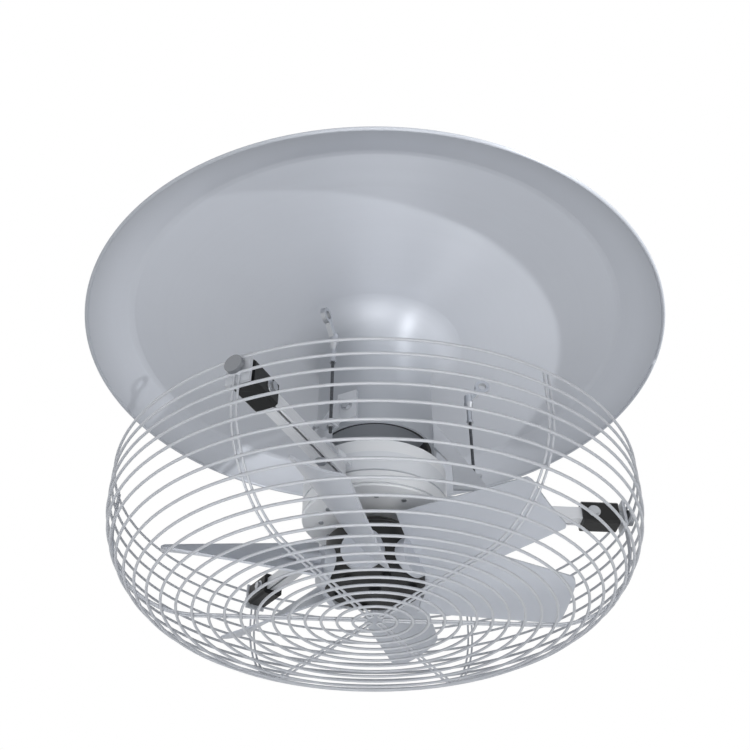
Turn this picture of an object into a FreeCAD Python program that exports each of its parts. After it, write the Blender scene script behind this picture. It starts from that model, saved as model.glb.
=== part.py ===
"""Vertical circulation fan: a wire-guarded impeller that blows up against a flared deflector.

The Z axis is the motor's axis. The origin is on that axis, at the lowest point of the guard.
Arm number one points along +X. Lengths are in millimetres and angles in degrees.
"""
import FreeCAD, Part
import math
import os
import re

import Sketcher
from FreeCAD import Rotation, Vector

SIZES = {
    # Deflector: tubular neck, flare, shallow disc and turned-down rim
    "deflector_radius": 385,
    "crease_radius": 332,
    "crease_bend": 14,
    "rim_angle": 30,
    "rim_bead_radius": 2.4,
    "disc_slope": 5,
    "flare_radius": 48,
    "flare_start": 346,
    "neck_radius": 75,
    "neck_bottom": 225,
    "deflector_wall": 3,
    # Motor: a flat round case under the neck
    "motor_radius": 88.5,
    "motor_shell_wall": 4.5,
    "shell_length": 24,
    "shell_drop": 5,
    "lower_shield_depth": 22,
    "upper_shield_height": 17,
    "shield_edge": 1.5,
    "shield_lip": 2,
    "shield_groove": 2.5,
    "shield_ledge": 1,
    "shield_spigot": 3.5,
    "shield_spigot_wall": 8,
    "shield_plate": 8,
    "shield_pocket_wall": 6,
    "shield_screw_inset": 23.5,
    "shield_screw_radius": 1.6,
    "shield_screw_length": 6,
    "shield_screw_angle": 27.5,
    "stator_gap": 0.5,
    "rotor_air_gap": 0.5,
    "winding_gap": 2,
    "winding_width": 20,
    "winding_lap": 4,
    "winding_height": 8,
    "winding_round": 3,
    "shaft_radius": 10,
    "hub_shaft_radius": 9.5,
    "shaft_end_gap": 1,
    "bearing_radius": 23.5,
    "bearing_width": 14,
    "bearing_ring": 4.5,
    "bearing_shield": 1.5,
    "bearing_cover": 3,
    "seal_radius": 17,
    "seal_gap": 2,
    "gland_radius": 9,
    "gland_taper": 2,
    "gland_height": 16,
    "gland_circle": 42,
    "gland_bore_radius": 3.6,
    # Neck ring, bracket legs and the ears of the motor shell
    "neck_ring_inset": 1,
    "neck_ring_height": 34,
    "neck_ring_wall": 4,
    "neck_screw_radius": 3,
    "leg_width": 26,
    "leg_thickness": 4,
    "leg_tab_margin": 7,
    "leg_tab_height": 40,
    "leg_foot_gap": 4,
    "leg_foot_length": 28,
    "leg_throat_gap": 5,
    "leg_motor_gap": 8,
    "leg_waist_rise": 16,
    "leg_shelf_margin": 7,
    "ear_length": 29.5,
    "ear_width": 26,
    "ear_thickness": 7,
    "ear_bolt_inset": 14,
    # Arms: slotted channels, open side down
    "arm_height": 147,
    "arm_gap": 6.5,
    "arm_depth": 16,
    "arm_width": 18,
    "arm_wall": 2,
    "arm_slot": 3,
    "arm_slot_side": 5,
    "arm_bolt_radius": 3,
    # Clamp blocks, clips and guard screws
    "block_length": 45.2,
    "block_width": 28,
    "block_depth": 29,
    "block_chamfer": 3,
    "block_socket": 26,
    "clamp_bolt_inset": 14,
    "clamp_bolt_radius": 3,
    "clip_thickness": 3.5,
    "clip_width": 28,
    "clip_depth": 34,
    "clip_neck": 5.3,
    "clip_neck_radius": 8,
    "guard_screw_radius": 1.6,
    "guard_screw_grip": 20,
    "guard_head_radius": 10,
    "guard_head_thickness": 5,
    # Guard: rings outside, paired ribs inside
    "guard_flat_radius": 200,
    "guard_bend_radius": 112,
    "guard_rim_rise": 9.6,
    "guard_first_ring": 25,
    "ring_wire_radius": 1.6,
    "rib_wire_radius": 1.3,
    "rib_pair_spacing": 6,
    "rib_inner_radius": 12,
    "weld_sink": 0.3,
    # Impeller
    "hub_radius": 58,
    "hub_bottom": 40,
    "hub_split": 70,
    "hub_boss_radius": 42,
    "hub_boss_height": 12,
    "hub_boss_gap": 12,
    "hub_chamfer": 4,
    "hub_bolt_circle": 44,
    "hub_bolt_radius": 3,
    "hub_bolt_length": 42,
    "key_width": 6,
    "key_length": 40,
    "key_margin": 8,
    "end_screw_radius": 4,
    "end_screw_length": 24,
    "end_washer_radius": 16,
    "end_washer_thickness": 3,
    "shank_radius": 8,
    "shank_inner": 24,
    "shank_taper": 50,
    "shank_tip_radius": 2,
    "root_pad_radius": 24,
    "root_pad_wrap": 7,
    "root_pad_proud": 8,
    "root_pad_drop": 8,
    "blade_tip_radius": 246,
    "blade_root_gap": 4,
    "blade_thickness": 2.6,
    "blade_camber": 4.5,
    "root_chord": 94,
    "middle_chord": 80,
    "tip_chord": 70,
    "root_angle": 50,
    "middle_angle": 41,
    "tip_angle": 28,
    "tip_drop": 10,
    "tip_corner_radius": 8,
    "blade_start_angle": 12.7,
    # Stays and hanging eyes
    "stay_circle": 126,
    "stay_side": 4.5,
    "stay_radius": 2,
    "stay_tail": 14,
    "stay_rise": 120,
    "stay_thread": 10,
    "bush_radius": 3.4,
    "bush_length": 16,
    "cone_nut_radius": 6.5,
    "cone_nut_wall": 1,
    "cone_nut_height": 12,
    "nut_radius": 4.5,
    "nut_height": 3.5,
    "eye_radius": 10,
    "eye_bore_radius": 5.5,
    "eye_thickness": 6,
    "eye_neck_width": 8,
    "eye_hub_radius": 5.5,
    "eye_hub_height": 12,
    "eye_reach": 30,
    "eye_lean_angle": 42,
    # Clearances
    "fit": 0.1,
    "running_fit": 0.05,
    "bearing_gap": 0.3,
}
RING_COUNT = 23
FLOOR_RING_COUNT = 10
LOWER_SCREW_COUNT = 12
UPPER_SCREW_COUNT = 6
RIB_COUNT = 6
ARM_COUNT = 3
BLADE_COUNT = 6
HEX_SIDES = 6

doc = FreeCAD.newDocument("vertical_circulation_fan")
sheet = doc.addObject("Spreadsheet::Sheet", "Sizes")
for row, (alias, amount) in enumerate(SIZES.items(), start=1):
    sheet.set(f"A{row}", alias)
    sheet.set(f"B{row}", str(amount))
    sheet.setAlias(f"B{row}", alias)
doc.recompute()

pieces = []


def in_sheet(text):
    """Turn the size names in an expression into references to the sheet's cells."""
    def reference(match):
        word = match.group()
        return "Sizes." + word if word in SIZES else word

    return re.sub(r"[a-z_][a-z_0-9]*", reference, text)


def value(text):
    """The present value of an expression in the sheet's size names."""
    return float(sheet.evalExpression(in_sheet(text)))


def bind(item, properties):
    """Bind an object's properties to expressions in the sheet's size names."""
    for name, text in properties.items():
        item.setExpression(name, in_sheet(text))
    return item


def piece(item, label):
    """Give a finished sub-part its label and list it for export."""
    item.Label = label
    pieces.append(item)
    return item


# Part primitives and booleans

AXIS_TURNS = {
    "x": Rotation(Vector(0, 1, 0), 90),
    "y": Rotation(Vector(1, 0, 0), -90),
    "z": Rotation(),
}


def place(item, base):
    x, y, z = base
    return bind(item, {"Placement.Base.x": x, "Placement.Base.y": y, "Placement.Base.z": z})


def cylinder(name, radius, length, base, along="z"):
    item = doc.addObject("Part::Cylinder", name)
    item.Placement.Rotation = AXIS_TURNS[along]
    bind(item, {"Radius": radius, "Height": length})
    return place(item, base)


def cone(name, lower_radius, upper_radius, length, base, along="z"):
    item = doc.addObject("Part::Cone", name)
    item.Placement.Rotation = AXIS_TURNS[along]
    bind(item, {"Radius1": lower_radius, "Radius2": upper_radius, "Height": length})
    return place(item, base)


def hexagon(name, radius, length, base, along="z"):
    item = doc.addObject("Part::Prism", name)
    item.Polygon = HEX_SIDES
    item.Placement.Rotation = AXIS_TURNS[along]
    bind(item, {"Circumradius": radius, "Height": length})
    return place(item, base)


def box(name, size, low):
    item = doc.addObject("Part::Box", name)
    bind(item, dict(zip(("Length", "Width", "Height"), size)))
    return place(item, low)


def cut(name, base, *tools):
    item = doc.addObject("Part::Cut", name)
    item.Base = base
    item.Tool = tools[0] if len(tools) == 1 else group(name + "_tools", tools)
    return item


def fuse(name, *parts):
    item = doc.addObject("Part::MultiFuse", name)
    item.Shapes = list(parts)
    item.Refine = False
    return item


def group(name, parts):
    item = doc.addObject("Part::Compound", name)
    item.Links = list(parts)
    return item


def turned_copy(name, source, angle):
    """A copy of an object, turned about the Z axis by an angle that is an expression."""
    item = group(name, [source])
    return bind(item, {"Placement.Rotation.Angle": angle})


def around(name, source, count, start="0"):
    """Copies of an object, evenly spaced about the Z axis."""
    return [
        turned_copy(f"{name}_{index + 1}", source, f"{start} + {index} * 360 / {count}")
        for index in range(count)
    ]


def pieces_around(label, source, count, start="0"):
    """One separate sub-part for each copy about the Z axis."""
    for item in around(label, source, count, start):
        piece(item, item.Name)


# Sketched bodies

def sketch_on(body, plane_role, name):
    sketch = body.newObject("Sketcher::SketchObject", name)
    plane = next(item for item in body.Origin.OriginFeatures if item.Role == plane_role)
    sketch.AttachmentSupport = [(plane, "")]
    sketch.MapMode = "FlatFace"
    return sketch


def arc_between(start, end, radius, side):
    """An arc between two points whose centre lies to the left or right of the way from one to the other."""
    chord = end - start
    half = chord.Length / 2
    left = Vector(-chord.y, chord.x, 0).normalize()
    sagitta = radius - math.sqrt(radius ** 2 - half ** 2)
    bulge = left * (-sagitta if side == "left" else sagitta)
    return Part.Arc(start, (start + end) * 0.5 + bulge, end)


def draw_outline(sketch, corners):
    """Draw a closed outline. A corner is (x, y), or (x, y, radius, side) where an arc leaves it."""
    points = [Vector(value(corner[0]), value(corner[1]), 0) for corner in corners]
    ends = []
    for index, corner in enumerate(corners):
        start, end = points[index], points[(index + 1) % len(points)]
        if len(corner) == 2:
            sketch.addGeometry(Part.LineSegment(start, end), False)
            ends.append((1, 2))
        else:
            sketch.addGeometry(arc_between(start, end, value(corner[2]), corner[3]), False)
            ends.append((1, 2) if corner[3] == "left" else (2, 1))
    for index, corner in enumerate(corners):
        following = (index + 1) % len(corners)
        sketch.addConstraint(
            Sketcher.Constraint("Coincident", index, ends[index][1], following, ends[following][0])
        )
        fix_corner(sketch, index, ends[index][0], corner)
        if len(corner) > 2:
            number = sketch.addConstraint(Sketcher.Constraint("Radius", index, value(corner[2])))
            bind(sketch, {f"Constraints[{number}]": corner[2]})


def fix_corner(sketch, edge, end, corner):
    for kind, text, axis in (("DistanceX", corner[0], -2), ("DistanceY", corner[1], -1)):
        if text == "0":
            sketch.addConstraint(Sketcher.Constraint("PointOnObject", edge, end, axis))
        else:
            limit = Sketcher.Constraint(kind, -1, 1, edge, end, value(text))
            number = sketch.addConstraint(limit)
            bind(sketch, {f"Constraints[{number}]": text})


def turned(name, corners):
    """A body turned about the Z axis from corners given as (radius, height)."""
    body = doc.addObject("PartDesign::Body", name)
    sketch = sketch_on(body, "XZ_Plane", name + "_outline")
    draw_outline(sketch, corners)
    turn = body.newObject("PartDesign::Revolution", name + "_turn")
    turn.Profile = sketch
    turn.ReferenceAxis = (sketch, ["V_Axis"])
    turn.Angle = 360
    sketch.Visibility = False
    return body


def padded(name, plane_role, corners, length, midplane=True, offset=None):
    """A body padded from an outline, about its plane or away from it."""
    body = doc.addObject("PartDesign::Body", name)
    sketch = sketch_on(body, plane_role, name + "_outline")
    draw_outline(sketch, corners)
    if offset:
        bind(sketch, {"AttachmentOffset.Base.z": offset})
    pad = body.newObject("PartDesign::Pad", name + "_pad")
    pad.Profile = sketch
    pad.SideType = "Symmetric" if midplane else "One side"
    bind(pad, {"Length": length})
    return body


def bevel(body, kind, size, wanted):
    """Fillet or chamfer the edges of a body's last feature that the test picks."""
    doc.recompute()
    tip = body.Tip
    names = [f"Edge{number}" for number, edge in enumerate(tip.Shape.Edges, 1) if wanted(edge)]
    feature = body.newObject("PartDesign::" + kind, f"{body.Name}_{kind.lower()}")
    feature.Base = (tip, names)
    bind(feature, {"Radius" if kind == "Fillet" else "Size": size})
    return body


# Heights and radii that several pieces share

ARM_TOP = "(arm_height + arm_depth / 2)"
ARM_BOTTOM = "(arm_height - arm_depth / 2)"
ARM_INNER = "(motor_radius + arm_gap)"
EAR_OUTER = "(motor_radius + ear_length)"
EAR_BOLT_CIRCLE = f"({EAR_OUTER} - ear_bolt_inset)"
SHELL_BORE = "(motor_radius - motor_shell_wall)"
SHELL_BOTTOM = f"({ARM_TOP} - shell_drop)"
SHELL_TOP = f"({SHELL_BOTTOM} + shell_length)"
MOTOR_BOTTOM = f"({SHELL_BOTTOM} - lower_shield_depth)"
MOTOR_TOP = f"({SHELL_TOP} + upper_shield_height)"
SHIELD_RECESS = f"({SHELL_BORE} - shield_spigot_wall)"
SHIELD_SCREW_CIRCLE = "(motor_radius - shield_screw_inset)"
LOWER_BEARING = f"({SHELL_BOTTOM} - bearing_width)"
UPPER_BEARING = f"({MOTOR_TOP} - bearing_cover - bearing_width)"
STATOR_BOTTOM = f"({SHELL_BOTTOM} + shield_spigot + stator_gap)"
STATOR_HEIGHT = "(shell_length - 2 * (shield_spigot + stator_gap))"
WINDING_OUTER = f"({SHIELD_RECESS} - winding_gap)"
WINDING_INNER = f"({WINDING_OUTER} - winding_width)"
STATOR_BORE = f"({WINDING_INNER} - winding_lap)"
NECK_BORE = "(neck_radius - deflector_wall)"
NECK_RING_OUTER = f"({NECK_BORE} - fit)"
NECK_RING_INNER = f"({NECK_RING_OUTER} - neck_ring_wall)"
FLARE_END = "(neck_radius + flare_radius * (1 - sin(disc_slope)))"
FLARE_TOP = "(flare_start + flare_radius * cos(disc_slope))"
CREASE_HEIGHT = f"({FLARE_TOP} + (crease_radius - {FLARE_END}) * tan(disc_slope))"
RIM_HEIGHT = f"({CREASE_HEIGHT} - (deflector_radius - crease_radius) * tan(rim_angle))"
LEG_INNER = "(neck_radius + fit)"
TAB_OUTER = f"({LEG_INNER} + leg_thickness)"
TAB_BOTTOM = "(neck_bottom + leg_tab_margin)"
TAB_TOP = f"({TAB_BOTTOM} + leg_tab_height)"
NECK_SCREW_HEIGHT = f"({TAB_BOTTOM} + leg_tab_height / 2)"
LEG_FOOT_INNER = f"({EAR_OUTER} + leg_foot_gap)"
LEG_FOOT_OUTER = f"({LEG_FOOT_INNER} + leg_foot_length)"
FOOT_BOLT_CIRCLE = f"({LEG_FOOT_INNER} + leg_foot_length / 2)"
LEG_FOOT_TOP = f"({ARM_TOP} + leg_thickness)"
LEG_FALL = f"(({TAB_TOP} - {LEG_FOOT_TOP}) / ({LEG_FOOT_OUTER} - {LEG_INNER}))"
SHELF_TOP = f"({TAB_TOP} - (stay_circle - {LEG_INNER}) * {LEG_FALL})"
EYE_SEAT = f"({SHELF_TOP} + stay_rise)"
HUB_BOSS_TOP = f"({MOTOR_BOTTOM} - hub_boss_gap)"
HUB_FLANGE_TOP = f"({HUB_BOSS_TOP} - hub_boss_height)"
HUB_SEAT = "(hub_bottom + end_washer_thickness)"
BLADE_ROOT = "(hub_radius + blade_root_gap)"
GUARD_RADIUS = "(guard_flat_radius + guard_bend_radius)"
GUARD_WALL_HEIGHT = "(arm_height + guard_rim_rise - guard_bend_radius - ring_wire_radius)"
RIB_RISE = "(ring_wire_radius + rib_wire_radius - weld_sink)"
RIB_RADIUS = f"({GUARD_RADIUS} - {RIB_RISE})"
RIB_HEIGHT = f"(ring_wire_radius + {RIB_RISE})"
CLIP_INNER = f"({RIB_RADIUS} - rib_wire_radius - clip_thickness)"
HEAD_INNER = f"({GUARD_RADIUS} + ring_wire_radius)"
BLOCK_INNER = f"({CLIP_INNER} - clip_neck - block_length)"
CLAMP_BOLT_CIRCLE = f"({BLOCK_INNER} + clamp_bolt_inset)"


def make_deflector():
    miter = "deflector_wall / cos((disc_slope + rim_angle) / 2)"
    lean = "((rim_angle - disc_slope) / 2)"
    body = turned("deflector_sheet", [
        ("neck_radius", "neck_bottom"),
        ("neck_radius", "flare_start", "flare_radius", "right"),
        (FLARE_END, FLARE_TOP),
        ("crease_radius", CREASE_HEIGHT),
        ("deflector_radius", RIM_HEIGHT),
        ("deflector_radius + deflector_wall * sin(rim_angle)",
         f"{RIM_HEIGHT} + deflector_wall * cos(rim_angle)"),
        (f"crease_radius + {miter} * sin({lean})", f"{CREASE_HEIGHT} + {miter} * cos({lean})"),
        (f"{FLARE_END} - deflector_wall * sin(disc_slope)",
         f"{FLARE_TOP} + deflector_wall * cos(disc_slope)",
         "flare_radius + deflector_wall", "left"),
        (NECK_BORE, "flare_start"),
        (NECK_BORE, "neck_bottom"),
    ])
    crease = value("crease_radius")
    miter_reach = 2 * value("deflector_wall")
    bevel(body, "Fillet", "crease_bend", lambda edge: edge.Curve.TypeId == "Part::GeomCircle"
          and crease - miter_reach < edge.Curve.Radius < crease + miter_reach)
    bead = doc.addObject("Part::Torus", "rim_bead")
    bind(bead, {"Radius1": "deflector_radius", "Radius2": "rim_bead_radius"})
    place(bead, ("0", "0", f"{RIM_HEIGHT} + deflector_wall / 2"))
    sheet_and_bead = fuse("deflector_blank", body, bead)
    screw_hole = cylinder("neck_screw_hole", "neck_screw_radius + fit", "2 * deflector_wall",
                          ("neck_radius - 1.5 * deflector_wall", "0", NECK_SCREW_HEIGHT), "x")
    piece(cut("deflector_cut", sheet_and_bead, *around("neck_holes", screw_hole, ARM_COUNT)), "deflector")


def make_motor_case():
    shell_wall = cylinder("shell_outside", "motor_radius", "shell_length", ("0", "0", SHELL_BOTTOM))
    shell_room = cylinder("shell_inside", SHELL_BORE, "shell_length", ("0", "0", SHELL_BOTTOM))
    ear = box("shell_ear", ("ear_length + motor_shell_wall / 2", "ear_width", "ear_thickness"),
              ("motor_radius - motor_shell_wall / 2", "-ear_width / 2", ARM_TOP))
    ear_hole = cylinder("ear_hole", "arm_bolt_radius + fit", "3 * ear_thickness",
                        (EAR_BOLT_CIRCLE, "0", f"{ARM_TOP} - ear_thickness"))
    shell_blank = fuse("shell_blank", shell_wall, *around("shell_ears", ear, ARM_COUNT))
    ear_holes = around("ear_holes", ear_hole, ARM_COUNT)
    piece(cut("shell_cut", shell_blank, shell_room, *ear_holes), "motor_shell")
    make_lower_shield()
    make_upper_shield()
    screws = around("lower_screw", shield_screw("lower_screw", MOTOR_BOTTOM, -1),
                    LOWER_SCREW_COUNT, "shield_screw_angle")
    screws += around("upper_screw", shield_screw("upper_screw", MOTOR_TOP, 1),
                     UPPER_SCREW_COUNT, "shield_screw_angle")
    piece(group("shield_screw_set", screws), "shield_screws")
    gland_nut = hexagon("gland_nut", "gland_radius", "gland_height / 2", ("gland_circle", "0", MOTOR_TOP))
    gland_cap = cone("gland_cap", "gland_radius - gland_taper / 2", "gland_radius - 1.5 * gland_taper",
                     "gland_height / 2", ("gland_circle", "0", f"{MOTOR_TOP} + gland_height / 2"))
    gland_bore = cylinder("gland_bore", "gland_bore_radius", "2 * gland_height",
                          ("gland_circle", "0", f"{MOTOR_TOP} - gland_height / 2"))
    piece(cut("gland_cut", fuse("gland_body", gland_nut, gland_cap), gland_bore), "cable_gland")
    seal_top = f"{LOWER_BEARING} - seal_gap"
    seal = turned("seal_turned", [
        ("hub_shaft_radius + bearing_gap", MOTOR_BOTTOM),
        ("seal_radius", MOTOR_BOTTOM),
        ("seal_radius", seal_top),
        ("hub_shaft_radius + 2 * bearing_gap", seal_top),
    ])
    piece(seal, "shaft_seal")


BEARING_POCKET = "(bearing_radius + running_fit)"
POCKET_WALL = f"({BEARING_POCKET} + shield_pocket_wall)"
SPIGOT = f"({SHELL_BORE} - fit)"


def make_lower_shield():
    lip_top = f"{MOTOR_BOTTOM} + shield_lip"
    ledge = f"{SHELL_BORE} + shield_ledge"
    turned_shield = turned("lower_shield_turned", [
        ("seal_radius + fit", MOTOR_BOTTOM),
        ("motor_radius - shield_edge", MOTOR_BOTTOM),
        ("motor_radius", f"{MOTOR_BOTTOM} + shield_edge"),
        ("motor_radius", lip_top),
        ("motor_radius - shield_groove", lip_top),
        ("motor_radius - shield_groove", f"{lip_top} + shield_groove"),
        ("motor_radius", f"{lip_top} + shield_groove"),
        ("motor_radius", f"{SHELL_BOTTOM} - shield_groove"),
        (ledge, f"{SHELL_BOTTOM} - shield_groove"),
        (ledge, SHELL_BOTTOM),
        (SPIGOT, SHELL_BOTTOM),
        (SPIGOT, f"{SHELL_BOTTOM} + shield_spigot"),
        (SHIELD_RECESS, f"{SHELL_BOTTOM} + shield_spigot"),
        (SHIELD_RECESS, f"{MOTOR_BOTTOM} + shield_plate"),
        (POCKET_WALL, f"{MOTOR_BOTTOM} + shield_plate"),
        (POCKET_WALL, SHELL_BOTTOM),
        (BEARING_POCKET, SHELL_BOTTOM),
        (BEARING_POCKET, LOWER_BEARING),
        ("seal_radius + fit", LOWER_BEARING),
    ])
    hole = cylinder("lower_screw_hole", "shield_screw_radius + fit", "shield_screw_length + fit",
                    (SHIELD_SCREW_CIRCLE, "0", MOTOR_BOTTOM))
    holes = around("lower_screw_holes", hole, LOWER_SCREW_COUNT, "shield_screw_angle")
    piece(cut("lower_shield_cut", turned_shield, *holes), "lower_end_shield")


def make_upper_shield():
    turned_shield = turned("upper_shield_turned", [
        ("0", MOTOR_TOP),
        ("motor_radius - shield_edge", MOTOR_TOP),
        ("motor_radius", f"{MOTOR_TOP} - shield_edge"),
        ("motor_radius", SHELL_TOP),
        (SPIGOT, SHELL_TOP),
        (SPIGOT, f"{SHELL_TOP} - shield_spigot"),
        (SHIELD_RECESS, f"{SHELL_TOP} - shield_spigot"),
        (SHIELD_RECESS, f"{MOTOR_TOP} - shield_plate"),
        (POCKET_WALL, f"{MOTOR_TOP} - shield_plate"),
        (POCKET_WALL, UPPER_BEARING),
        (BEARING_POCKET, UPPER_BEARING),
        (BEARING_POCKET, f"{UPPER_BEARING} + bearing_width"),
        ("0", f"{UPPER_BEARING} + bearing_width"),
    ])
    gland_hole = cylinder("gland_hole", "gland_bore_radius", "2 * shield_plate",
                          ("gland_circle", "0", f"{MOTOR_TOP} - 1.5 * shield_plate"))
    hole = cylinder("upper_screw_hole", "shield_screw_radius + fit", "shield_screw_length + fit",
                    (SHIELD_SCREW_CIRCLE, "0", f"{MOTOR_TOP} - shield_screw_length - fit"))
    holes = around("upper_screw_holes", hole, UPPER_SCREW_COUNT, "shield_screw_angle")
    piece(cut("upper_shield_cut", turned_shield, gland_hole, *holes), "upper_end_shield")


def shield_screw(name, face, side):
    """A screw on the first screw position, its head outside the face and its shank inside."""
    head_base = face if side > 0 else f"{face} - 1.2 * shield_screw_radius"
    shank_base = f"{face} - shield_screw_length" if side > 0 else face
    head = hexagon(name + "_head", "1.9 * shield_screw_radius", "1.2 * shield_screw_radius",
                   (SHIELD_SCREW_CIRCLE, "0", head_base))
    shank = cylinder(name + "_shank", "shield_screw_radius", "shield_screw_length",
                     (SHIELD_SCREW_CIRCLE, "0", shank_base))
    return fuse(name, head, shank)


def make_motor_insides():
    core = cylinder("stator_outside", SPIGOT, STATOR_HEIGHT, ("0", "0", STATOR_BOTTOM))
    bore = cylinder("stator_bore", STATOR_BORE, STATOR_HEIGHT, ("0", "0", STATOR_BOTTOM))
    piece(cut("stator_cut", core, bore), "stator_core")
    stator_top = f"({STATOR_BOTTOM} + {STATOR_HEIGHT})"
    for label, base, out in (("lower_winding", STATOR_BOTTOM, "-"), ("upper_winding", stator_top, "+")):
        far = f"{base} {out} winding_height"
        near_round = f"{base} {out} (winding_height - winding_round)"
        side = "right" if out == "-" else "left"
        corners = [
            (WINDING_INNER, base),
            (WINDING_OUTER, base),
            (WINDING_OUTER, near_round, "winding_round", side),
            (f"{WINDING_OUTER} - winding_round", far),
            (f"{WINDING_INNER} + winding_round", far, "winding_round", side),
            (WINDING_INNER, near_round),
        ]
        piece(turned(label + "_turned", corners), label)
    rotor_base = ("0", "0", STATOR_BOTTOM)
    rotor = cylinder("rotor_outside", f"{STATOR_BORE} - rotor_air_gap", STATOR_HEIGHT, rotor_base)
    rotor_bore = cylinder("rotor_bore", "shaft_radius + running_fit", STATOR_HEIGHT, rotor_base)
    piece(cut("rotor_cut", rotor, rotor_bore), "rotor_core")
    for label, base in (("lower_bearing", LOWER_BEARING), ("upper_bearing", UPPER_BEARING)):
        make_bearing(label, base)
    shaft_top = f"{UPPER_BEARING} + bearing_width - shaft_end_gap"
    shaft = turned("shaft_turned", [
        ("0", HUB_SEAT),
        ("hub_shaft_radius", HUB_SEAT),
        ("hub_shaft_radius", LOWER_BEARING),
        ("shaft_radius", LOWER_BEARING),
        ("shaft_radius", shaft_top),
        ("0", shaft_top),
    ])
    thread = cylinder("end_thread", "end_screw_radius + fit", "end_screw_length + fit", ("0", "0", HUB_SEAT))
    piece(cut("shaft_cut", shaft, key_room("shaft_key_slot"), thread), "motor_shaft")


def make_bearing(label, base):
    """A sealed ball bearing: the outer ring carries the two shields, the inner ring turns."""
    top = f"({base} + bearing_width)"
    inner_edge = "(shaft_radius + bearing_ring + bearing_gap)"
    race = "(bearing_radius - bearing_ring)"
    outer = turned(label + "_outer_turned", [
        (inner_edge, base),
        ("bearing_radius", base),
        ("bearing_radius", top),
        (inner_edge, top),
        (inner_edge, f"{top} - bearing_shield"),
        (race, f"{top} - bearing_shield"),
        (race, f"{base} + bearing_shield"),
        (inner_edge, f"{base} + bearing_shield"),
    ])
    piece(outer, label + "_outer_ring")
    ring = cylinder(label + "_inner_body", "shaft_radius + bearing_ring", "bearing_width", ("0", "0", base))
    bore = cylinder(label + "_inner_bore", "shaft_radius + running_fit", "bearing_width", ("0", "0", base))
    piece(cut(label + "_inner_cut", ring, bore), label + "_inner_ring")


def make_bracket():
    ring_base = ("0", "0", "neck_bottom + neck_ring_inset")
    ring_body = cylinder("neck_ring_outside", NECK_RING_OUTER, "neck_ring_height", ring_base)
    ring_room = cylinder("neck_ring_inside", NECK_RING_INNER, "neck_ring_height", ring_base)
    ring_hole = cylinder("neck_ring_hole", "neck_screw_radius + fit", "3 * neck_ring_wall",
                         (f"{NECK_RING_INNER} - neck_ring_wall", "0", NECK_SCREW_HEIGHT), "x")
    ring_holes = around("neck_ring_holes", ring_hole, ARM_COUNT)
    piece(cut("neck_ring_cut", ring_body, ring_room, *ring_holes), "neck_ring")
    pieces_around("bracket_leg", make_leg(), ARM_COUNT)
    head = hexagon("neck_screw_head", "1.8 * neck_screw_radius", "1.2 * neck_screw_radius",
                   (TAB_OUTER, "0", NECK_SCREW_HEIGHT), "x")
    shank = cylinder("neck_screw_shank", "neck_screw_radius", f"{TAB_OUTER} - {NECK_RING_INNER}",
                     (NECK_RING_INNER, "0", NECK_SCREW_HEIGHT), "x")
    screw = fuse("neck_screw", head, shank)
    piece(group("neck_screw_set", around("neck_screw", screw, ARM_COUNT)), "neck_screws")


def make_leg():
    """A folded bracket: an upright plate with a tab on the neck, a foot on the arm and a shelf for the rod."""
    side = "-leg_width / 2"
    throat = f"{ARM_TOP} + ear_thickness + 1.6 * arm_bolt_radius + leg_throat_gap"
    plate = padded("leg_plate", "XZ_Plane", [
        (LEG_INNER, TAB_TOP),
        (LEG_FOOT_OUTER, LEG_FOOT_TOP),
        (LEG_FOOT_OUTER, ARM_TOP),
        (LEG_FOOT_INNER, ARM_TOP),
        (LEG_FOOT_INNER, throat),
        ("motor_radius + leg_motor_gap", throat),
        ("motor_radius + leg_motor_gap", f"{MOTOR_TOP} + leg_waist_rise"),
        (LEG_INNER, TAB_BOTTOM),
    ], "leg_thickness", midplane=False, offset="leg_width / 2 - leg_thickness")
    tab = box("leg_tab", ("2 * leg_thickness", "leg_width", "leg_tab_height"),
              (f"{LEG_INNER} - leg_thickness", side, TAB_BOTTOM))
    foot = box("leg_foot", ("leg_foot_length", "leg_width", "leg_thickness"),
               (LEG_FOOT_INNER, side, ARM_TOP))
    shelf = box("leg_shelf",
                ("2 * leg_shelf_margin", "leg_width / 2 + stay_side + leg_shelf_margin", "leg_thickness"),
                ("stay_circle - leg_shelf_margin", side, f"{SHELF_TOP} - leg_thickness"))
    neck_curve = cylinder("leg_neck_curve", LEG_INNER, "3 * leg_tab_height",
                          ("0", "0", f"{TAB_BOTTOM} - leg_tab_height"))
    tab_hole = cylinder("leg_tab_hole", "neck_screw_radius + fit", "4 * leg_thickness",
                        ("neck_radius - leg_thickness", "0", NECK_SCREW_HEIGHT), "x")
    stay_hole = cylinder("leg_stay_hole", "stay_radius + fit", "3 * leg_thickness",
                         ("stay_circle", "stay_side", f"{SHELF_TOP} - 2 * leg_thickness"))
    foot_hole = cylinder("leg_foot_hole", "arm_bolt_radius + fit", "3 * leg_thickness",
                         (FOOT_BOLT_CIRCLE, "0", f"{ARM_TOP} - leg_thickness"))
    blank = fuse("leg_blank", plate, tab, foot, shelf)
    return cut("leg_cut", blank, neck_curve, tab_hole, stay_hole, foot_hole)


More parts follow.
